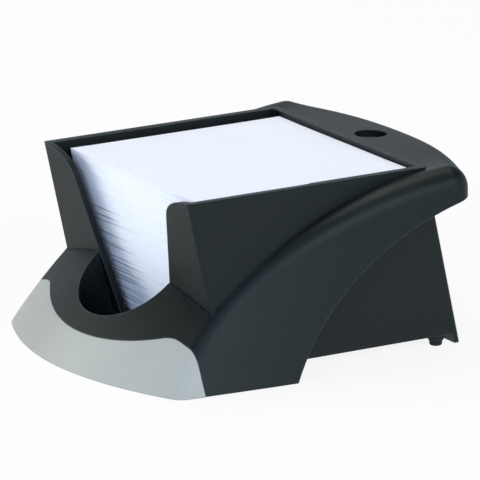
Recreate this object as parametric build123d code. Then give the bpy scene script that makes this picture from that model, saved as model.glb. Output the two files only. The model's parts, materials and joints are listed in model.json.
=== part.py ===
from build123d import *
import os
from math import asin, cos, radians, sin, sqrt, tan

# Desk memo box, in millimetres: X across, Y from front to back, Z up from the desk.
# The origin is on the desk, under the middle of the outline.

# Memo paper
paper_width = 90.0  # square sheets
paper_drop = 2.2  # top sheet below the tray's rim
paper_gap = 0.5  # behind the pile
sheet_thickness = 0.1
packet_count = 6

# Paper tray
tray_wall = 2.6
tray_round = 1.5  # upright outer corners
tray_side_room = 4.25  # beside the pile
tray_front_room = 4.6  # between the pile and the wings
tray_lean = 12.6  # degrees, top towards the front
tray_rise = 0.3  # rim above the cover's crest
tray_skirt = 4.2  # lower edge of the side walls above the desk
tray_heel = 0.6  # lower edge of the back wall above the desk
tray_gap = 0.35  # between the tray and the cover
floor_top = 8.6
floor_thickness = 2.6
wing_gap_low = 36.0  # opening between the front wings at the floor
wing_gap_high = 71.0  # the same, carried up to the rim
wing_curve_drop = 8.8  # where the wings begin to curve, below the rim
wing_pull_drop = 1.4  # pull of that curve, below the rim
wing_flat = 1.0  # straight end of the curve at the outer corner
tongue_inset = 5.85  # floor plate carried forward under the deck, inside the tray's sides
tongue_reach = 4.3  # its front edge before the tray's rim

# Outer form of the cover
front_deck_depth = 24.75  # from the front edge to the tray's rim
pen_deck_depth = 27.95  # from the tray's rim to the back
crest_height = 68.5
crest_setback = 22.27  # highest line before the back
crown_radius = 118.0  # plan-view bow of the front edge
stern_radius = 118.0  # plan-view bow of the back
stern_spare = 2.0  # roll of the pen deck into the back, past the round of the ridges
skirt_flare = 14.95  # of the sides past the tray at the desk, where they are widest
skirt_front_flare = 7.15  # the same at the front edge
shoulder_flare = 9.55  # of the sides past the tray at the height of the crest
shoulder_front_draw = 29.0  # inwards at the front edge, at the height of the crest
widest_setback = 25.15  # widest place before the back
shoulder_inset = 1.85  # the shoulders begin to rise this far inside the tray's sides
shoulder_lift = 4.0  # their rise at the shoulders' full width
station_shares = (0, 0.3, 0.6, 0.8, 1)  # of the reach of the outer form
ridge_round = 7.0
cover_wall = 2.8
cover_rim = 0.2  # lower edge above the desk
arch_foot_setback = 62.65  # where the side arches leave the desk, behind the front edge
arch_top_drop = 8.9  # their highest line below the crest
arch_overhang = 4.33  # their highest line behind the back

# Finger scoop
scoop_width = 50.0
scoop_reach = 18.0
scoop_inset = 7.7  # centre behind the tray's rim
scoop_wall = 2.4
scoop_gap = 0.3  # between the scoop's collar and the tray's floor

# Front apron
apron_skin = 1.3
apron_gap = 0.1
apron_rim = 0.1  # lower edge above the desk
apron_depth = 9.1  # plan depth in the middle
apron_dip_radius = 75.2
apron_dip_half_width = 40.5
apron_ear_radius = 17.6
apron_ear_slope = 9.0  # degrees, of the ends in plan
peg_diameter = 2.4
peg_head_diameter = 4.0
peg_head_height = 0.9
peg_clearance = 0.1
peg_height = 7.0
peg_inner_x = 20.0
peg_outer_x = 44.0

# Pen socket
pen_setback = 18.95  # centre of the hole before the back
pen_hole_diameter = 12.0
pen_bore_diameter = 11.6
pen_tube_wall = 1.4
pen_tube_depth = 40.0
pen_flange_diameter = 21.0
pen_flange_thickness = 2.0
pen_flange_gap = 0.05

# Screws between the tray and the cover
screw_diameter = 2.9
screw_length = 7.5
screw_head_diameter = 5.4
screw_head_height = 1.9
screw_slot_width = 1.0
screw_slot_depth = 0.8
screw_clearance = 0.1
pilot_spare = 0.8  # pilot hole past the screw's tip
boss_diameter = 7.0
boss_inset = 6.0  # inside the tongue's sides
lug_width = 12.0
lug_drop = 8.4  # rear lugs below the crest
lug_thickness = 2.6

# Rubber feet
foot_diameter = 4.8
foot_height = 2.2  # from the desk to the boss that holds it
foot_edge = 0.8
foot_boss_diameter = 5.8
foot_stem_diameter = 3.2
foot_stem_length = 4.0
foot_clearance = 0.1
front_foot_setback = 3.8  # behind the tongue's front edge
rear_foot_setback = 4.84  # before the back wall's inner face, at the floor's underside
rear_foot_inset = 3.35  # inside the tray's sides

overrun = 10.0  # how far cuts and blanks pass what they meet

# Worked out from the sizes above
tray_width = paper_width + 2 * (tray_side_room + tray_wall)
stern_round = ridge_round + stern_spare
tray_depth = paper_width + paper_gap + tray_front_room + 2 * tray_wall
tray_top = crest_height + tray_rise
paper_top = tray_top - paper_drop
floor_under = floor_top - floor_thickness
lean_slope = tan(radians(tray_lean))
lean_up = Vector(0, -sin(radians(tray_lean)), cos(radians(tray_lean)))

overall_depth = front_deck_depth + tray_depth + pen_deck_depth
half_depth = overall_depth / 2
tray_front_y = front_deck_depth - half_depth
widest_y = half_depth - widest_setback
crest_run = overall_depth - crest_setback
crest_radius = (crest_run**2 + crest_height**2) / (2 * crest_height)
arc_centre_z = crest_height - crest_radius
skirt_half_width = tray_width / 2 + skirt_flare
skirt_front_half_width = tray_width / 2 + skirt_front_flare
shoulder_half_width = tray_width / 2 + shoulder_flare
shoulder_front_half_width = tray_width / 2 - shoulder_front_draw
shoulder_start = tray_width / 2 - shoulder_inset

scoop_y = tray_front_y + scoop_inset
pen_y = half_depth - pen_setback
tongue_front_y = tray_front_y - tongue_reach
tongue_width = tray_width - 2 * tongue_inset
boss_x = tongue_width / 2 - boss_inset
front_boss_y = tongue_front_y + boss_diameter
lug_top = crest_height - lug_drop
front_foot_x = boss_x - boss_diameter
front_foot_y = tongue_front_y + front_foot_setback
rear_foot_x = tray_width / 2 - rear_foot_inset
rear_wall_y = tray_front_y + tray_depth - tray_wall + (tray_top - floor_under) * lean_slope
rear_foot_y = rear_wall_y - rear_foot_setback


def crest_y(x):
    """Where the cover's arc is highest, at a distance from the middle."""
    return crest_run - half_depth + x**2 / (2 * crown_radius)


def crest_top(x):
    """Height of the cover's arc where it is highest, with the raised shoulder."""
    past = max(0, abs(x) - shoulder_start) / (shoulder_half_width - shoulder_start)
    return crest_height + shoulder_lift * past**2


def form_section(x, inset):
    """Side-view outline of the cover's body at a distance from the middle, taken in by an inset."""
    crest = crest_y(x)
    top = crest_top(x)
    full_radius = (crest_run**2 + top**2) / (2 * top)
    radius = full_radius - inset
    centre_z = top - full_radius
    roll = stern_round - inset
    back = half_depth - x**2 / (2 * stern_radius) - inset
    roll_y = back - roll
    roll_rise = sqrt((full_radius - stern_round) ** 2 - (roll_y - crest) ** 2)
    roll_z = centre_z + roll_rise

    centre = Vector(crest, centre_z)
    roll_centre = Vector(roll_y, roll_z)
    join_way = (roll_centre - centre).normalized()
    join = centre + join_way * radius
    front = Vector(crest - sqrt(radius**2 - (centre_z + overrun) ** 2), -overrun)
    crest_way = ((front - centre).normalized() + join_way).normalized()
    roll_way = (join_way + Vector(1, 0)).normalized()
    end = Vector(back, roll_z)

    outline = ThreePointArc(front, centre + crest_way * radius, join)
    outline += ThreePointArc(join, roll_centre + roll_way * roll, end)
    outline += Polyline(end, (back, -overrun), front)
    return make_face(Plane.YZ.offset(x) * outline)


def waist_outline(z, inset):
    """Plan-view outline between the two sides at a height, taken in by an inset."""
    rise = z / crest_height
    half = skirt_half_width * (1 - rise) + shoulder_half_width * rise - inset
    front_half = skirt_front_half_width * (1 - rise) + shoulder_front_half_width * rise - inset
    bow = (half - front_half) / (half_depth + widest_y) ** 2
    front = -half_depth - overrun / 2
    back = half_depth + overrun
    front_x = half - bow * (front - widest_y) ** 2
    back_x = half - bow * (back - widest_y) ** 2
    pull_x = half - bow * (front - widest_y) * (back - widest_y)
    pull_y = (front + back) / 2

    outline = Bezier((front_x, front), (pull_x, pull_y), (back_x, back))
    outline += Line((back_x, back), (-back_x, back))
    outline += Bezier((-back_x, back), (-pull_x, pull_y), (-front_x, front))
    outline += Line((-front_x, front), (front_x, front))
    return make_face(Plane.XY.offset(z) * outline)


def form(inset):
    """The cover's outer body as a solid, taken in by an inset on every side."""
    reach = skirt_half_width + overrun / 2
    right = [reach * share for share in station_shares]
    left = [-x for x in right[:0:-1]]
    top = loft([form_section(x, inset) for x in left + right])
    waist = loft([waist_outline(z, inset) for z in (-2 * overrun, crest_height + overrun / 4)], ruled=True)
    block = top & waist
    ridge = [edge for edge in new_edges(top, waist, combined=block) if edge.center().Z > -overrun / 2]
    return fillet(ridge, ridge_round - inset)


def leaning_block(width, front_y, depth, low, high):
    """A block that leans with the tray. Its front_y is taken at the height of the tray's rim."""
    low_y = front_y + (tray_top - low) * lean_slope
    high_y = front_y + (tray_top - high) * lean_slope
    outline = Polyline((low_y, low), (low_y + depth, low), (high_y + depth, high), (high_y, high), close=True)
    return extrude(make_face(Plane.YZ * outline), width / 2, both=True)


def post(diameter, x, y, low, high):
    """An upright cylinder between two heights."""
    return Pos(x, y, low) * Cylinder(diameter / 2, high - low, align=(Align.CENTER, Align.CENTER, Align.MIN))


def both_sides(x, y):
    """The same place on the right and on the left."""
    return ((x, y), (-x, y))


# Each boss with the top of the plate that is screwed against it
boss_places = [(x, y, floor_top, floor_thickness) for x, y in both_sides(boss_x, front_boss_y)]
boss_places += [(x, y, lug_top, lug_thickness) for x, y in both_sides(boss_x, pen_y)]
foot_places = both_sides(front_foot_x, front_foot_y) + both_sides(rear_foot_x, rear_foot_y)
pen_axis = Plane(origin=(0, pen_y, crest_height), z_dir=lean_up)
body = form(0)
cavity = form(cover_wall)


def tray_block(gap, low, high):
    """The tray's outer block with its rounded corners, grown all round by a gap."""
    block = leaning_block(tray_width + 2 * gap, tray_front_y - gap, tray_depth + 2 * gap, low, high)
    corners = [edge for edge in block.edges() if abs((edge @ 1 - edge @ 0).Z) > (high - low) / 2]
    return fillet(corners, tray_round + gap)


def scoop_prism(grown, low, high):
    """The finger scoop's rounded plan between two heights."""
    plan = Ellipse(scoop_width / 2 + grown, scoop_reach + grown)
    return Pos(0, scoop_y, low) * extrude(plan, high - low)


def apron_region(grown):
    """The stretch of the front that the apron covers, as an upright prism."""
    dip_y = apron_depth - half_depth
    turn = asin(apron_dip_half_width / apron_dip_radius)
    slope = radians(apron_ear_slope)
    dip_end_y = dip_y + apron_dip_radius * (1 - cos(turn))
    ear_x = apron_dip_half_width + apron_ear_radius * (sin(turn) - sin(slope))
    ear_y = dip_end_y + apron_ear_radius * (cos(slope) - cos(turn))
    outer_x = skirt_half_width + overrun
    outer_y = ear_y + (outer_x - ear_x) * tan(slope)
    front_y = -half_depth - overrun

    outline = RadiusArc((0, dip_y), (apron_dip_half_width, dip_end_y), -apron_dip_radius)
    outline += RadiusArc((apron_dip_half_width, dip_end_y), (ear_x, ear_y), apron_ear_radius)
    outline += Polyline((ear_x, ear_y), (outer_x, outer_y), (outer_x, front_y), (0, front_y), (0, dip_y))
    half = make_face(outline)
    plan = half + mirror(half, Plane.YZ)
    if grown:
        plan = offset(plan, grown)
    return Pos(0, 0, -overrun) * extrude(plan, crest_height + overrun)


def apron_pegs(grown, length, head):
    """Pegs square to the front's surface, through the cover behind the apron."""
    pegs = Part()
    for x in (peg_inner_x, peg_outer_x, -peg_inner_x, -peg_outer_x):
        rise = peg_height - arc_centre_z
        run = -sqrt(crest_radius**2 - rise**2)
        outward = Vector(-run * x / crown_radius, run, rise).normalized()
        place = Vector(x, crest_y(x) + run, peg_height) - outward * apron_skin / 2
        seat = Plane(origin=place, z_dir=-outward)
        grow_up = (Align.CENTER, Align.CENTER, Align.MIN)
        pegs += seat * Cylinder(peg_diameter / 2 + grown, length, align=grow_up)
        if head:
            pegs += seat.offset(length) * Cylinder(peg_head_diameter / 2, peg_head_height, align=grow_up)
    return pegs


def outer_cover():
    """Saddle-shaped shell with the pen deck, side arches and finger scoop."""
    core = form(cover_wall / 2)
    cover = body - cavity
    for x, y, plate_top, _ in boss_places:
        cover += post(boss_diameter, x, y, plate_top, crest_height) & core
    cover += scoop_prism(scoop_wall, floor_top + scoop_gap, tray_top) & core
    cover -= scoop_prism(0, -overrun, tray_top)
    cover -= tray_block(tray_gap, -overrun, tray_top + overrun)

    arch_run = overall_depth + arch_overhang - arch_foot_setback
    arch_top = crest_height - arch_top_drop
    arch_radius = (arch_run**2 + arch_top**2) / (2 * arch_top)
    arch = Rot(0, 90, 0) * Cylinder(arch_radius, 2 * (skirt_half_width + overrun))
    cover -= Pos(0, half_depth + arch_overhang, arch_top - arch_radius) * arch
    cover -= pen_axis * Cylinder(pen_hole_diameter / 2, 4 * overrun)
    for x, y, plate_top, plate in boss_places:
        tip = plate_top - plate + screw_length + pilot_spare
        cover -= post(screw_diameter + 2 * screw_clearance, x, y, plate_top, tip)

    cover -= apron_region(apron_gap) - form(apron_skin + apron_gap)
    cover -= apron_pegs(peg_clearance, cover_wall + overrun / 2, False)
    below = Box(4 * half_depth, 4 * half_depth, 2 * overrun)
    return cover - Pos(0, 0, cover_rim - overrun) * below


def front_apron():
    """Silver skin that wraps the front edge, held by staked pegs."""
    apron = (body - form(apron_skin)) & apron_region(0)
    below = Box(4 * half_depth, 4 * half_depth, 2 * overrun)
    apron -= Pos(0, 0, apron_rim - overrun) * below
    through = cover_wall - apron_skin / 2 + 2 * apron_gap
    return apron + apron_pegs(0, through, True)


def wing_mouth():
    """The opening between the tray's front wings, whose upper corners curve out to the rim."""
    flare = (wing_gap_high - wing_gap_low) / 2 / (tray_top - floor_top)
    low = wing_gap_low / 2
    curve_x = wing_gap_high / 2 - flare * wing_curve_drop
    pull_x = wing_gap_high / 2 - flare * wing_pull_drop
    rim_x = tray_width / 2 - wing_flat
    curve_z = tray_top - wing_curve_drop
    above = tray_top + overrun

    outline = Polyline((0, floor_top), (low, floor_top), (curve_x, curve_z))
    outline += Bezier((curve_x, curve_z), (pull_x, tray_top - wing_pull_drop), (rim_x, tray_top))
    outline += Polyline((rim_x, tray_top), (rim_x, above), (0, above), (0, floor_top))
    half = make_face(Plane.XZ * outline)
    return extrude(half + mirror(half, Plane.YZ), tray_depth / 2 + overrun)


def paper_tray():
    """Leaning box for the paper, open at the front between two wings."""
    inner_width = tray_width - 2 * tray_wall
    inner_front_y = tray_front_y + tray_wall
    inner_depth = tray_depth - 2 * tray_wall
    tray = tray_block(0, tray_heel, tray_top)
    tray -= leaning_block(inner_width, inner_front_y, inner_depth, floor_top, tray_top + overrun)
    tray -= leaning_block(inner_width, inner_front_y, inner_depth, -overrun, floor_under)
    tray -= leaning_block(
        tray_width + overrun, tray_front_y - overrun, tray_depth - tray_wall + overrun, -overrun, tray_skirt
    )
    tray -= wing_mouth()

    tongue_back_y = tray_front_y + (tray_top - floor_under) * lean_slope + tray_wall
    tongue = Box(
        tongue_width,
        tongue_back_y - tongue_front_y,
        floor_thickness,
        align=(Align.CENTER, Align.MIN, Align.MIN),
    )
    tray += Pos(0, tongue_front_y, floor_under) * tongue
    tray += scoop_prism(scoop_wall / 2, floor_under, floor_top)
    lug_front_y = tray_front_y + tray_depth + (tray_top - lug_top) * lean_slope - tray_wall / 2
    for x, y in both_sides(boss_x, pen_y):
        arm = Box(lug_width, y - lug_front_y, lug_thickness, align=(Align.CENTER, Align.MAX, Align.MAX))
        tray += Pos(x, y, lug_top) * arm
        tray += post(lug_width, x, y, lug_top - lug_thickness, lug_top)
    for x, y, plate_top, plate in boss_places:
        tray -= post(screw_diameter + 2 * screw_clearance, x, y, plate_top - plate, plate_top)
    for x, y in foot_places:
        tray += post(foot_boss_diameter, x, y, foot_height, floor_under)
        socket_top = foot_height + foot_stem_length + foot_clearance
        tray -= post(foot_stem_diameter + 2 * foot_clearance, x, y, foot_height, socket_top)
    return tray


def pen_tube():
    """Leaning pen socket, closed below, with a flange under the deck."""
    outside = pen_bore_diameter / 2 + pen_tube_wall
    low = (Align.CENTER, Align.CENTER, Align.MAX)
    top_room = pen_axis.offset(overrun)
    tube = top_room * Cylinder(outside, pen_tube_depth + pen_tube_wall + overrun, align=low)
    flange_low = crest_height - cover_wall - pen_flange_thickness
    tube += post(pen_flange_diameter, 0, pen_y, flange_low, crest_height)
    tube -= top_room * Cylinder(pen_bore_diameter / 2, pen_tube_depth + overrun, align=low)
    deck_room = post(2 * pen_flange_diameter, 0, pen_y, flange_low, crest_height + 2 * overrun)
    tube -= deck_room - form(cover_wall + pen_flange_gap)
    return tube - tray_block(tray_gap, -overrun, tray_top + overrun)


def tray_screws():
    """The screws that hold the tray up against the cover's bosses."""
    screws = []
    for x, y, plate_top, plate in boss_places:
        seat = plate_top - plate
        screw = post(screw_head_diameter, x, y, seat - screw_head_height, seat)
        screw += post(screw_diameter, x, y, seat, seat + screw_length)
        slot = Box(screw_head_diameter, screw_slot_width, 2 * screw_slot_depth)
        slot += Box(screw_slot_width, screw_head_diameter, 2 * screw_slot_depth)
        screws.append(screw - Pos(x, y, seat - screw_head_height) * slot)
    return Compound(screws)


def foot(x, y):
    """Rubber foot with a stem in its boss under the tray."""
    pad = post(foot_diameter, x, y, 0, foot_height)
    pad = fillet(pad.edges().sort_by(Axis.Z)[0], foot_edge)
    return pad + post(foot_stem_diameter, x, y, foot_height, foot_height + foot_stem_length)


def paper(low, high):
    """A layer of the leaning pile of memo sheets."""
    back_y = tray_front_y + tray_depth - tray_wall - paper_gap
    return leaning_block(paper_width, back_y - paper_width, paper_width, low, high)


os.makedirs("parts", exist_ok=True)
nodes = {
    "outer_cover": outer_cover(),
    "paper_tray": paper_tray(),
    "front_apron": front_apron(),
    "pen_tube": pen_tube(),
    "tray_screws": tray_screws(),
}
for x, y in foot_places:
    end = "front" if y < 0 else "rear"
    side = "right" if x > 0 else "left"
    nodes[f"foot_{end}_{side}"] = foot(x, y)
pile_top = paper_top - sheet_thickness
packet_height = (pile_top - floor_top) / packet_count
for number in range(packet_count):
    low = floor_top + number * packet_height
    nodes[f"note_packet_{number + 1}"] = paper(low, low + packet_height)
nodes["top_sheet"] = paper(pile_top, paper_top)
for name, shape in nodes.items():
    export_step(shape, f"parts/{name}.step")
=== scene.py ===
import json
import math
import random

import bpy
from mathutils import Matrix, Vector


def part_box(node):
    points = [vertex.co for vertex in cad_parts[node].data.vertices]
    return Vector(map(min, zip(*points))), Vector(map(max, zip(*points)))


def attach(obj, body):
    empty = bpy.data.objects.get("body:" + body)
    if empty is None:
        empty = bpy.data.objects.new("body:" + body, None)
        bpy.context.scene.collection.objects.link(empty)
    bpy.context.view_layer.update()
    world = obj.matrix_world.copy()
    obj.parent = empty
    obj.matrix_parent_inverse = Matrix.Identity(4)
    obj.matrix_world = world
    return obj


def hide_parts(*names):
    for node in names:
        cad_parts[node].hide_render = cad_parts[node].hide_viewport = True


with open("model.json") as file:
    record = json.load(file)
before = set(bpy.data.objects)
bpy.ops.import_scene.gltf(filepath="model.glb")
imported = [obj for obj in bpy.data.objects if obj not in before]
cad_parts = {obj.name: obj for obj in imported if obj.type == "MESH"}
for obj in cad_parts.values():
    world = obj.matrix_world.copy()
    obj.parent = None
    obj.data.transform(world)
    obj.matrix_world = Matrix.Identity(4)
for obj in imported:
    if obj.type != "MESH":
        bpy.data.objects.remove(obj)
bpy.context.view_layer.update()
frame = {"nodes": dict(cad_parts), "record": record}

# Desk memo box, dressed for the photograph. Metres, in the frame of the solids:
# X across, Y from front to back, Z up from the desk.

MM = 0.001

# Camera
CAMERA_AZIMUTH = math.radians(58.59)
CAMERA_ELEVATION = math.radians(15.5)
CAMERA_DISTANCE = 2.4
CAMERA_TARGET = Vector((0.32, 1.0, 36.02)) * MM
CAMERA_LENS = 493.2
CAMERA_SENSOR = 36.0
CAMERA_NEAR = 0.05
CAMERA_FAR = 50.0

# Surfaces. Colours are sRGB from 0 to 255. A noise is its feature size, its detail and its roughness.
FULL_SHARES = (0.0, 1.0)
MIDDLE_SHARES = (0.3, 0.7)
EVEN_STRETCH_SHARES = (1.0, 1.0, 1.0)
EDGE_TURN_SHARES = (0.98, 0.75)  # cosines of the turn at which an edge begins and is full
EDGE_SAMPLES = 6
# Samples of the occlusion that places painted shade between the sheets
SHADE_SAMPLES = 8
MIX_FIRST = 6  # places of a mix node's colour sockets, whose names are used more than once
MIX_SECOND = 7
MIX_RESULT = 2

# Black plastic
BLACK = (3, 7, 10)
BLACK_DEEP = (2, 6, 9)
BLACK_SOFT = (4, 9, 12)
# Lighter colour on edges and seams: partly wear, partly a painted highlight
BLACK_WORN_AND_HIGHLIGHT = (108, 120, 123)
BLACK_ROUGH_SHARE = 0.52
BLACK_ROUGH_SHARES = (0.48, 0.56)
BLACK_GLOSS_SHARE = 0.34
BLACK_GLOSS_TINT = (0.78, 0.95, 0.95, 1.0)
BLACK_DRIFT = (28 * MM, 3.0, 0.55)
BLACK_DRIFT_SHARES = (0.25, 0.75)
BLACK_MOTTLE = (1.1 * MM, 3.0, 0.6)
BLACK_MOTTLE_SHARES = (0.35, 0.7)
BLACK_GRAIN = (0.4 * MM, 2.0, 0.6)
BLACK_GRAIN_DEPTH = 0.03 * MM
BLACK_GRAIN_SHARE = 0.35
BLACK_EDGE = 0.45 * MM
# Width of the edges that take the painted highlight and wear, and how strongly the patches show it
BLACK_WEAR_AND_HIGHLIGHT_WIDTH = 0.5 * MM
BLACK_WEAR_AND_HIGHLIGHT_SHARES = (0.3, 1.0)

# Grey plastic
GREY = (163, 167, 162)
GREY_DEEP = (160, 164, 159)
GREY_SOFT = (167, 171, 166)
GREY_FLECKED = (196, 202, 204)
# Painted shade: darker grey along the edges, for the shadow in the gap around the apron
GREY_EDGE_SHADE = (112, 117, 117)
GREY_ROUGH_SHARE = 0.5
GREY_ROUGH_SHARES = (0.44, 0.56)
GREY_REFRACTION = 1.46
GREY_DRIFT = (36 * MM, 3.0, 0.55)
GREY_FLECK = (0.3 * MM, 2.0, 0.7)
GREY_FLECK_SHARES = (0.55, 0.75)
GREY_FLECK_COVER_SHARES = (0.0, 0.35)
GREY_FLECK_DEPTH = 0.02 * MM
GREY_FLECK_SHARE = 0.25
# Width of the rounded edge normals and of the painted edge shade
GREY_EDGE = 0.35 * MM

# Rubber
RUBBER = (12, 15, 16)
RUBBER_CLEAN = (11, 14, 15)
RUBBER_DUSTY = (40, 44, 45)
RUBBER_ROUGH_SHARE = 0.5
RUBBER_ROUGH_SHARES = (0.42, 0.64)
RUBBER_GLOSS_SHARE = 0.25
RUBBER_DUST = (1.4 * MM, 4.0, 0.65)
RUBBER_DUST_SHARES = (0.5, 0.8)
RUBBER_DUST_COVER_SHARES = (0.0, 0.5)
RUBBER_DUST_ROUGH_SHARES = (0.3, 0.8)
RUBBER_DUST_DEPTH = 0.03 * MM
RUBBER_DUST_SHARE = 0.2
RUBBER_EDGE = 0.3 * MM

# Steel
STEEL = (190, 190, 192)
STEEL_DEEP = (172, 172, 175)
STEEL_SOFT = (206, 206, 207)
STEEL_ROUGH_SHARE = 0.3
STEEL_ROUGH_SHARES = (0.24, 0.42)
STEEL_TURNING = (1.4 * MM, 3.0, 0.6)
STEEL_TURNING_DEPTH = 0.01 * MM
STEEL_TURNING_SHARE = 0.2
STEEL_STRETCH_SHARES = (1.0, 1.0, 12.0)
STEEL_EDGE = 0.15 * MM

# Paper
PAPER = (237, 241, 250)
PAPER_DEEP = (235, 239, 249)
PAPER_SOFT = (239, 242, 251)
PAPER_FIBROUS = (222, 224, 234)
# Painted shade: bluish dark colour deep in the gaps between sheets
PAPER_PAINTED_SHADE = (58, 70, 100)
PAPER_ROUGH_SHARE = 0.88
PAPER_REFRACTION = 1.4
PAPER_CLOUD = (16 * MM, 4.0, 0.6)
PAPER_FIBRE = (0.55 * MM, 4.0, 0.65)
PAPER_FIBRE_SHARES = (0.6, 0.8)
PAPER_FIBRE_COVER_SHARES = (0.0, 0.25)
PAPER_FIBRE_DEPTH = 0.03 * MM
PAPER_FIBRE_SHARE = 0.2
PAPER_STRETCH_SHARES = (1.0, 0.35, 1.0)
# Reach of the occlusion for the painted shade, and the occlusion values over which it fades out
PAPER_SHADE_REACH = 1.2 * MM
PAPER_SHADE_SHARES = (0.06, 0.36)

# Pile of sheets
PILE_SEED = 7
PACKET_COUNT = 6
SHEETS_PER_PACKET = 50
SHEET_STEPS = 30
SHEET_CORNERS = 4  # of a cut through a sheet
SHEET_STRAY = 0.1 * MM
SHEET_STRAY_RANGE = (-0.2 * MM, 0.1 * MM)
SHEET_DRIFT_SHARE = 0.8  # of a sheet's stray that the next one keeps
SHEET_TWIST = math.radians(0.12)
TRAY_LEAN = math.radians(12.6)
FINE_GAP = 0.02 * MM
WIDE_GAP_FIRST = 2  # lowest sheet of a packet that may have a wide gap under it
WIDE_GAP_RANGE = (0.3 * MM, 0.8 * MM)
WIDE_GAP_COUNTS = (5, 5, 4, 3, 0, 0)  # in each packet, from the lowest up
# Share of the width at which each packet comes out from behind the left wing
WIDE_GAP_LEFT_SHARES = (0.2, 0.19, 0.18, 0.16, 0.12, 0.06)
WEDGE_SHARES = (0.12, 0.3)

# Top sheet
LEAF_STEPS = 24
LEAF_CORNER_LIFT = 0.12 * MM
LEAF_CORNER_POWER = 5
LEAF_WAVE = 0.03 * MM
LEAF_WAVE_START = 2.0
LEAF_WAVE_ACROSS = 9.0
LEAF_WAVE_ALONG = 7.0

# Stage. Colours are linear.
WHITE = (1.0, 1.0, 1.0, 1.0)
FLOOR_COLOUR = (0.86, 0.86, 0.86, 1.0)
FLOOR_SIZE = 8.0
FLOOR_GLOW_SHARE = 0.88
SKY_COLOUR = (0.7, 0.86, 1.0, 1.0)
SKY_HORIZON = 0.84
SKY_CEILING = 0.03
SKY_CEILING_SHARE = 0.6
LAMPS = {  # place, width, height, watts and colour
    "key": ((-1.35, -1.5, 0.66), 1.6, 0.8, 21.0, (1.0, 0.93, 0.84)),
    "top": ((-0.3, 0.15, 1.5), 1.0, 1.0, 12.5, (1.0, 0.97, 0.9)),
    "fill": ((1.3, -1.3, 0.8), 0.8, 0.6, 27.0, (0.5, 0.6, 0.78)),
    "rear": ((1.65, 0.35, 0.8), 1.0, 0.7, 14.0, (0.95, 0.98, 1.0)),
    "left": ((-1.3, 0.4, 0.6), 1.0, 0.7, 2.2, (0.95, 0.98, 1.0)),
}


def linear(*srgb):
    """Linear colour of an sRGB colour given from 0 to 255."""
    shares = [value / 255 for value in srgb]
    return [s / 12.92 if s <= 0.04045 else ((s + 0.055) / 1.055) ** 2.4 for s in shares] + [1.0]


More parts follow.
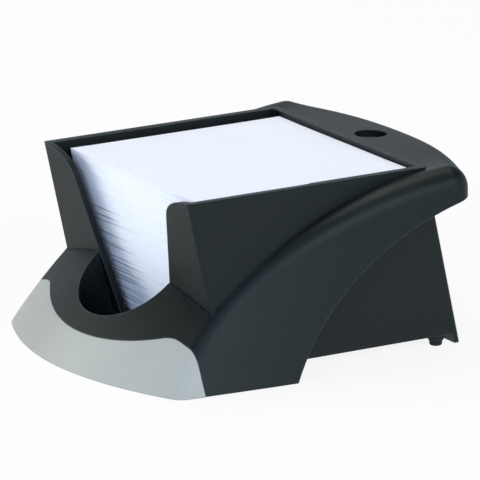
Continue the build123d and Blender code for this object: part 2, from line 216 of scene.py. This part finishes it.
class Nodes:
    """A material's node tree, with short calls to add and join nodes."""

    def __init__(self, name):
        self.material = bpy.data.materials.new(name)
        self.material.use_nodes = True
        self.tree = self.material.node_tree
        self.tree.nodes.clear()
        self.output = self.add("ShaderNodeOutputMaterial")

    def add(self, kind, **values):
        """A new node with some of its own settings."""
        node = self.tree.nodes.new(kind)
        for key, value in values.items():
            setattr(node, key, value)
        return node

    def join(self, source, target):
        """Joins an output to an input."""
        self.tree.links.new(source, target)

    def feed(self, value, target):
        """Joins a socket to an input, or sets the input to a number or an sRGB colour."""
        if isinstance(value, bpy.types.NodeSocket):
            self.join(value, target)
        elif isinstance(value, tuple):
            target.default_value = linear(*value)
        else:
            target.default_value = value

    def shader(self, color, roughness, **sockets):
        """A principled shader on the output, with constant values on its own sockets."""
        node = self.add("ShaderNodeBsdfPrincipled")
        self.feed(color, node.inputs["Base Color"])
        self.feed(roughness, node.inputs["Roughness"])
        for key, value in sockets.items():
            node.inputs[key.replace("_", " ")].default_value = value
        self.join(node.outputs["BSDF"], self.output.inputs["Surface"])
        return node

    def place(self, stretch_shares):
        """Place on the piece, stretched along its axes."""
        node = self.add("ShaderNodeMapping")
        node.inputs["Scale"].default_value = stretch_shares
        self.join(self.add("ShaderNodeTexCoord").outputs["Object"], node.inputs["Vector"])
        return node.outputs["Vector"]

    def noise(self, kind, stretch_shares=EVEN_STRETCH_SHARES):
        """Noise with features of a size."""
        size, detail, rough = kind
        node = self.add("ShaderNodeTexNoise")
        node.inputs["Scale"].default_value = 1 / size
        node.inputs["Detail"].default_value = detail
        node.inputs["Roughness"].default_value = rough
        self.join(self.place(stretch_shares), node.inputs["Vector"])
        return node.outputs["Fac"]

    def span(self, value, from_shares, to_shares):
        """The value carried from one range to another, and kept inside it."""
        node = self.add("ShaderNodeMapRange", clamp=True)
        node.inputs["From Min"].default_value = from_shares[0]
        node.inputs["From Max"].default_value = from_shares[1]
        node.inputs["To Min"].default_value = to_shares[0]
        node.inputs["To Max"].default_value = to_shares[1]
        self.join(value, node.inputs["Value"])
        return node.outputs["Result"]

    def blend(self, factor, first, second):
        """Two colours mixed by a factor. Each is a socket or an sRGB colour."""
        node = self.add("ShaderNodeMix", data_type="RGBA")
        self.join(factor, node.inputs["Factor"])
        self.feed(first, node.inputs[MIX_FIRST])
        self.feed(second, node.inputs[MIX_SECOND])
        return node.outputs[MIX_RESULT]

    def calc(self, operation, first, second):
        """Two values joined by an operation. Each is a socket or a number."""
        node = self.add("ShaderNodeMath", operation=operation)
        self.feed(first, node.inputs[0])
        self.feed(second, node.inputs[1])
        return node.outputs[0]

    def rounded(self, radius):
        """Normals softened at the edges over a radius."""
        node = self.add("ShaderNodeBevel", samples=EDGE_SAMPLES)
        node.inputs["Radius"].default_value = radius
        return node.outputs["Normal"]

    def edges(self, radius):
        """A mask that is one on the edges and zero on open surfaces."""
        geometry = self.add("ShaderNodeNewGeometry")
        product = self.add("ShaderNodeVectorMath", operation="DOT_PRODUCT")
        self.join(self.rounded(radius), product.inputs[0])
        self.join(geometry.outputs["Normal"], product.inputs[1])
        return self.span(product.outputs["Value"], EDGE_TURN_SHARES, FULL_SHARES)

    def painted_shade_mask(self, reach):
        """An occlusion mask that is zero where surfaces close in and one on open surfaces, for painted
        shade.
        """
        node = self.add("ShaderNodeAmbientOcclusion", samples=SHADE_SAMPLES, only_local=True)
        node.inputs["Distance"].default_value = reach
        return node.outputs["AO"]

    def bump(self, height, depth, strength, normal=None):
        """Normals roughened by a height, on top of other normals if they are given."""
        node = self.add("ShaderNodeBump")
        node.inputs["Distance"].default_value = depth
        node.inputs["Strength"].default_value = strength
        self.join(height, node.inputs["Height"])
        if normal:
            self.join(normal, node.inputs["Normal"])
        return node.outputs["Normal"]


def black_plastic():
    """Black moulded plastic with a fine grain, and edges lightened in patches: partly wear, partly painted
    highlight.
    """
    nodes = Nodes("black_plastic")
    shader = nodes.shader(
        BLACK,
        BLACK_ROUGH_SHARE,
        Specular_IOR_Level=BLACK_GLOSS_SHARE,
        Specular_Tint=BLACK_GLOSS_TINT,
    )
    drift = nodes.noise(BLACK_DRIFT)
    mottle = nodes.noise(BLACK_MOTTLE)
    grain = nodes.noise(BLACK_GRAIN)
    shade = nodes.blend(nodes.span(drift, MIDDLE_SHARES, FULL_SHARES), BLACK_DEEP, BLACK_SOFT)
    patches = nodes.span(mottle, BLACK_MOTTLE_SHARES, BLACK_WEAR_AND_HIGHLIGHT_SHARES)
    # Painted highlight along edges and seams, in patches like wear: the edge mask times the mottle lightens
    # the base colour
    worn_and_highlight = nodes.calc("MULTIPLY", nodes.edges(BLACK_WEAR_AND_HIGHLIGHT_WIDTH), patches)
    nodes.join(nodes.blend(worn_and_highlight, shade, BLACK_WORN_AND_HIGHLIGHT), shader.inputs["Base Color"])
    nodes.join(nodes.span(drift, BLACK_DRIFT_SHARES, BLACK_ROUGH_SHARES), shader.inputs["Roughness"])
    height = nodes.calc("ADD", grain, mottle)
    normal = nodes.bump(height, BLACK_GRAIN_DEPTH, BLACK_GRAIN_SHARE, nodes.rounded(BLACK_EDGE))
    nodes.join(normal, shader.inputs["Normal"])
    return nodes.material


def grey_plastic():
    """Silver-grey satin plastic with a faint fleck and painted shade along its edges."""
    nodes = Nodes("grey_plastic")
    shader = nodes.shader(GREY, GREY_ROUGH_SHARE, IOR=GREY_REFRACTION)
    drift = nodes.noise(GREY_DRIFT)
    fleck = nodes.noise(GREY_FLECK)
    base = nodes.blend(nodes.span(drift, MIDDLE_SHARES, FULL_SHARES), GREY_DEEP, GREY_SOFT)
    base = nodes.blend(nodes.span(fleck, GREY_FLECK_SHARES, GREY_FLECK_COVER_SHARES), base, GREY_FLECKED)
    # Painted shade along the edges: the edge mask darkens the base colour
    nodes.join(nodes.blend(nodes.edges(GREY_EDGE), base, GREY_EDGE_SHADE), shader.inputs["Base Color"])
    nodes.join(nodes.span(fleck, MIDDLE_SHARES, GREY_ROUGH_SHARES), shader.inputs["Roughness"])
    normal = nodes.bump(fleck, GREY_FLECK_DEPTH, GREY_FLECK_SHARE, nodes.rounded(GREY_EDGE))
    nodes.join(normal, shader.inputs["Normal"])
    return nodes.material


def paper():
    """White uncoated paper with short fibres, with painted shade deep between the sheets."""
    nodes = Nodes("paper")
    shader = nodes.shader(PAPER, PAPER_ROUGH_SHARE, IOR=PAPER_REFRACTION)
    cloud = nodes.noise(PAPER_CLOUD)
    fibre = nodes.noise(PAPER_FIBRE, PAPER_STRETCH_SHARES)
    base = nodes.blend(nodes.span(cloud, MIDDLE_SHARES, FULL_SHARES), PAPER_DEEP, PAPER_SOFT)
    base = nodes.blend(nodes.span(fibre, PAPER_FIBRE_SHARES, PAPER_FIBRE_COVER_SHARES), base, PAPER_FIBROUS)
    # Painted shade between the sheets: where the occlusion closes in, the base colour turns bluish dark
    unshaded_mask = nodes.span(nodes.painted_shade_mask(PAPER_SHADE_REACH), PAPER_SHADE_SHARES, FULL_SHARES)
    nodes.join(nodes.blend(unshaded_mask, PAPER_PAINTED_SHADE, base), shader.inputs["Base Color"])
    nodes.join(nodes.bump(fibre, PAPER_FIBRE_DEPTH, PAPER_FIBRE_SHARE), shader.inputs["Normal"])
    return nodes.material


def rubber():
    """Dark rubber with a smooth moulded face and a little dust."""
    nodes = Nodes("rubber")
    shader = nodes.shader(RUBBER, RUBBER_ROUGH_SHARE, Specular_IOR_Level=RUBBER_GLOSS_SHARE)
    dust = nodes.noise(RUBBER_DUST)
    cover = nodes.span(dust, RUBBER_DUST_SHARES, RUBBER_DUST_COVER_SHARES)
    nodes.join(nodes.blend(cover, RUBBER_CLEAN, RUBBER_DUSTY), shader.inputs["Base Color"])
    nodes.join(nodes.span(dust, RUBBER_DUST_ROUGH_SHARES, RUBBER_ROUGH_SHARES), shader.inputs["Roughness"])
    normal = nodes.bump(dust, RUBBER_DUST_DEPTH, RUBBER_DUST_SHARE, nodes.rounded(RUBBER_EDGE))
    nodes.join(normal, shader.inputs["Normal"])
    return nodes.material


def steel():
    """Plain turned steel."""
    nodes = Nodes("steel")
    shader = nodes.shader(STEEL, STEEL_ROUGH_SHARE, Metallic=1.0)
    turned = nodes.noise(STEEL_TURNING, STEEL_STRETCH_SHARES)
    base = nodes.blend(nodes.span(turned, MIDDLE_SHARES, FULL_SHARES), STEEL_DEEP, STEEL_SOFT)
    nodes.join(base, shader.inputs["Base Color"])
    nodes.join(nodes.span(turned, MIDDLE_SHARES, STEEL_ROUGH_SHARES), shader.inputs["Roughness"])
    normal = nodes.bump(turned, STEEL_TURNING_DEPTH, STEEL_TURNING_SHARE, nodes.rounded(STEEL_EDGE))
    nodes.join(normal, shader.inputs["Normal"])
    return nodes.material


MATERIALS = {
    "black_plastic": black_plastic(),
    "grey_plastic": grey_plastic(),
    "paper": paper(),
    "rubber": rubber(),
    "steel": steel(),
}


def dress_solids():
    """Gives each solid the material of its slot."""
    for part in frame["record"]["subparts"]:
        mesh = frame["nodes"][part["node"]].data
        mesh.materials.clear()
        mesh.materials.append(MATERIALS[part["material_slot"]])


def new_piece(name, vertices, faces, body, slot):
    """A mesh piece that rides on a body and takes its material from a slot."""
    mesh = bpy.data.meshes.new(name)
    mesh.from_pydata(vertices, [], faces)
    mesh.validate()
    mesh.update()
    mesh.materials.append(MATERIALS[slot])
    piece = bpy.data.objects.new(name, mesh)
    bpy.context.scene.collection.objects.link(piece)
    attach(piece, body)
    return piece


def sheet_block(low_line, high_line, front, back):
    """Vertices and faces of one sheet between two height lines, from the left to the right.

    front and back give the sheet's front and back edge as a function of a share of the width.
    """
    vertices = []
    count = len(low_line)
    for step in range(count):
        share = step / (count - 1)
        x_front, y_front = front(share)
        x_back, y_back = back(share)
        vertices += [
            (x_front, y_front, low_line[step]),
            (x_back, y_back, low_line[step]),
            (x_back, y_back, high_line[step]),
            (x_front, y_front, high_line[step]),
        ]
    left_end = tuple(range(SHEET_CORNERS))
    faces = [left_end]
    for step in range(count - 1):
        here = SHEET_CORNERS * step
        there = here + SHEET_CORNERS
        for corner in range(SHEET_CORNERS):
            following = (corner + 1) % SHEET_CORNERS
            faces.append((here + following, here + corner, there + corner, there + following))
    last = SHEET_CORNERS * (count - 1)
    faces.append(tuple(last + corner for corner in reversed(left_end)))
    return vertices, faces


def sheet_edges(x_left, width, y_back, depth, twist):
    """Front and back edge lines of a sheet that is turned a little about its middle."""

    def point(x_share, y_share):
        across = (x_share - 0.5) * width
        along = (y_share - 0.5) * depth
        x = x_left + width / 2 + across * math.cos(twist) - along * math.sin(twist)
        y = y_back - depth / 2 + across * math.sin(twist) + along * math.cos(twist)
        return x, y

    return lambda share: point(share, 0.0), lambda share: point(share, 1.0)


def gap_line(rng, left_share, wide):
    """Height of the gap under a sheet along its front edge, from the left to the right.

    A wide gap stands open as far as left_share and closes like a wedge to the right of it.
    """
    fine = rng.uniform(0, FINE_GAP)
    opening = rng.uniform(*WIDE_GAP_RANGE) if wide else 0
    wedge_share = rng.uniform(*WEDGE_SHARES)
    line = []
    for step in range(SHEET_STEPS):
        past_share = max(0, step / (SHEET_STEPS - 1) - left_share)
        line.append(fine + opening * max(0, 1 - past_share / wedge_share))
    return line


def note_packet(number, rng):
    """A packet of loose sheets in place of its solid, with uneven edges and thin gaps between them."""
    node = f"note_packet_{number}"
    low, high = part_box(node)
    lean = math.tan(TRAY_LEAN)
    width = high.x - low.x
    height = high.z - low.z
    depth = high.y - low.y - height * lean
    gapes = rng.sample(range(WIDE_GAP_FIRST, SHEETS_PER_PACKET), WIDE_GAP_COUNTS[number - 1])
    left_share = WIDE_GAP_LEFT_SHARES[number - 1]
    gaps = [gap_line(rng, left_share, sheet in gapes) for sheet in range(SHEETS_PER_PACKET)]
    thickness = [(height - sum(column)) / SHEETS_PER_PACKET for column in zip(*gaps)]
    top = [low.z] * SHEET_STEPS
    vertices = []
    faces = []
    drift = 0
    for line in gaps:
        floor = [z + gap for z, gap in zip(top, line)]
        top = [z + thick for z, thick in zip(floor, thickness)]
        drift = SHEET_DRIFT_SHARE * drift + rng.uniform(-1, 1) * SHEET_STRAY / 2
        stray_x = rng.uniform(-1, 1) * SHEET_STRAY
        stray_y = drift + rng.uniform(-1, 1) * SHEET_STRAY / 2
        stray_y = max(SHEET_STRAY_RANGE[0], min(SHEET_STRAY_RANGE[1], stray_y))
        twist = rng.uniform(-1, 1) * SHEET_TWIST
        y_back = high.y - (floor[-1] - low.z) * lean + stray_y
        front, back = sheet_edges(low.x + stray_x, width, y_back, depth, twist)
        start = len(vertices)
        block_vertices, block_faces = sheet_block(floor, top, front, back)
        vertices += block_vertices
        faces += [tuple(start + index for index in face) for face in block_faces]
    piece = new_piece(f"{node}_sheets", vertices, faces, "note_stack", "paper")
    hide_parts(node)


def leaf_rise(across_share, along_share):
    """Height of the top sheet above its flat lie: lifted corners and a slight wave."""
    corner = abs(2 * across_share - 1) ** LEAF_CORNER_POWER * abs(2 * along_share - 1) ** LEAF_CORNER_POWER
    across = math.sin(LEAF_WAVE_ACROSS * across_share + LEAF_WAVE_START)
    along = math.sin(LEAF_WAVE_ALONG * along_share)
    return LEAF_CORNER_LIFT * corner + LEAF_WAVE * max(0, across * along)


def leaf_faces(side):
    """Faces of a thin leaf with two layers of side by side points and a rim between them."""
    upper = side * side
    last = side - 1
    faces = []
    for row in range(last):
        for column in range(last):
            near = row * side + column
            far = near + side
            faces.append((near, far, far + 1, near + 1))
            faces.append((upper + near, upper + near + 1, upper + far + 1, upper + far))
    rim = list(range(side))
    rim += [row * side + last for row in range(1, side)]
    rim += [last * side + column for column in range(last - 1, -1, -1)]
    rim += [row * side for row in range(last - 1, 0, -1)]
    for here, there in zip(rim, rim[1:] + rim[:1]):
        faces.append((here, there, upper + there, upper + here))
    return faces


def top_sheet():
    """The uppermost sheet, with corners that lift a little."""
    low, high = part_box("top_sheet")
    side = LEAF_STEPS + 1
    vertices = []
    for layer in (low.z, high.z):
        for row in range(side):
            for column in range(side):
                across_share = column / LEAF_STEPS
                along_share = row / LEAF_STEPS
                x = low.x + across_share * (high.x - low.x)
                y = low.y + along_share * (high.y - low.y)
                vertices.append((x, y, layer + leaf_rise(across_share, along_share)))
    piece = new_piece("top_sheet_leaf", vertices, leaf_faces(side), "top_sheet", "paper")
    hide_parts("top_sheet")


def stage_floor():
    """White floor that keeps a soft shadow and reads as a white background."""
    half = FLOOR_SIZE / 2
    corners = [(-half, -half, 0), (half, -half, 0), (half, half, 0), (-half, half, 0)]
    mesh = bpy.data.meshes.new("floor")
    mesh.from_pydata(corners, [], [(0, 1, 2, 3)])
    nodes = Nodes("floor")
    diffuse = nodes.add("ShaderNodeBsdfDiffuse")
    diffuse.inputs["Color"].default_value = FLOOR_COLOUR
    glow = nodes.add("ShaderNodeEmission")
    glow.inputs["Color"].default_value = WHITE
    mix = nodes.add("ShaderNodeMixShader")
    path = nodes.add("ShaderNodeLightPath")
    seen = nodes.calc("MAXIMUM", path.outputs["Is Camera Ray"], path.outputs["Is Glossy Ray"])
    seen = nodes.calc("MAXIMUM", seen, path.outputs["Is Transmission Ray"])
    nodes.join(nodes.calc("MULTIPLY", seen, FLOOR_GLOW_SHARE), mix.inputs["Fac"])
    nodes.join(diffuse.outputs["BSDF"], mix.inputs[1])
    nodes.join(glow.outputs["Emission"], mix.inputs[2])
    nodes.join(mix.outputs["Shader"], nodes.output.inputs["Surface"])
    mesh.materials.append(nodes.material)
    floor = bpy.data.objects.new("floor", mesh)
    bpy.context.scene.collection.objects.link(floor)


def stage_world():
    """Light from all round that fades from the horizon up to a dark ceiling, seen as white."""
    world = bpy.data.worlds.new("studio")
    world.use_nodes = True
    tree = world.node_tree
    tree.nodes.clear()
    output = tree.nodes.new("ShaderNodeOutputWorld")
    place = tree.nodes.new("ShaderNodeTexCoord")
    split = tree.nodes.new("ShaderNodeSeparateXYZ")
    fade = tree.nodes.new("ShaderNodeMapRange")
    fade.interpolation_type = "SMOOTHSTEP"
    fade.inputs["From Max"].default_value = SKY_CEILING_SHARE
    fade.inputs["To Min"].default_value = SKY_HORIZON
    fade.inputs["To Max"].default_value = SKY_CEILING
    around = tree.nodes.new("ShaderNodeBackground")
    around.inputs["Color"].default_value = SKY_COLOUR
    seen = tree.nodes.new("ShaderNodeBackground")
    seen.inputs["Color"].default_value = WHITE
    path = tree.nodes.new("ShaderNodeLightPath")
    mix = tree.nodes.new("ShaderNodeMixShader")
    tree.links.new(place.outputs["Generated"], split.inputs["Vector"])
    tree.links.new(split.outputs["Z"], fade.inputs["Value"])
    tree.links.new(fade.outputs["Result"], around.inputs["Strength"])
    tree.links.new(path.outputs["Is Camera Ray"], mix.inputs["Fac"])
    tree.links.new(around.outputs["Background"], mix.inputs[1])
    tree.links.new(seen.outputs["Background"], mix.inputs[2])
    tree.links.new(mix.outputs["Shader"], output.inputs["Surface"])
    bpy.context.scene.world = world


def softbox(name, place, width, height, power, color):
    """An oblong area lamp that faces the object."""
    lamp = bpy.data.lights.new(name, "AREA")
    lamp.shape = "RECTANGLE"
    lamp.size = width
    lamp.size_y = height
    lamp.energy = power
    lamp.color = color
    holder = bpy.data.objects.new(name, lamp)
    holder.location = place
    holder.rotation_euler = (CAMERA_TARGET - Vector(place)).to_track_quat("-Z", "Y").to_euler()
    bpy.context.scene.collection.objects.link(holder)


def stage_camera():
    """Camera at the photograph's viewing angle."""
    data = bpy.data.cameras.new("camera")
    data.lens = CAMERA_LENS
    data.sensor_width = CAMERA_SENSOR
    data.clip_start = CAMERA_NEAR
    data.clip_end = CAMERA_FAR
    camera = bpy.data.objects.new("camera", data)
    level = math.cos(CAMERA_ELEVATION)
    away = Vector((
        math.sin(CAMERA_AZIMUTH) * level,
        -math.cos(CAMERA_AZIMUTH) * level,
        math.sin(CAMERA_ELEVATION),
    ))
    camera.location = CAMERA_TARGET + away * CAMERA_DISTANCE
    camera.rotation_euler = away.to_track_quat("Z", "Y").to_euler()
    bpy.context.scene.collection.objects.link(camera)
    bpy.context.scene.camera = camera


dress_solids()
shuffle = random.Random(PILE_SEED)
for packet in range(1, PACKET_COUNT + 1):
    note_packet(packet, shuffle)
top_sheet()

stage_floor()
stage_world()
for lamp_name, settings in LAMPS.items():
    softbox(lamp_name, *settings)
stage_camera()
bpy.context.scene.view_settings.view_transform = "Standard"
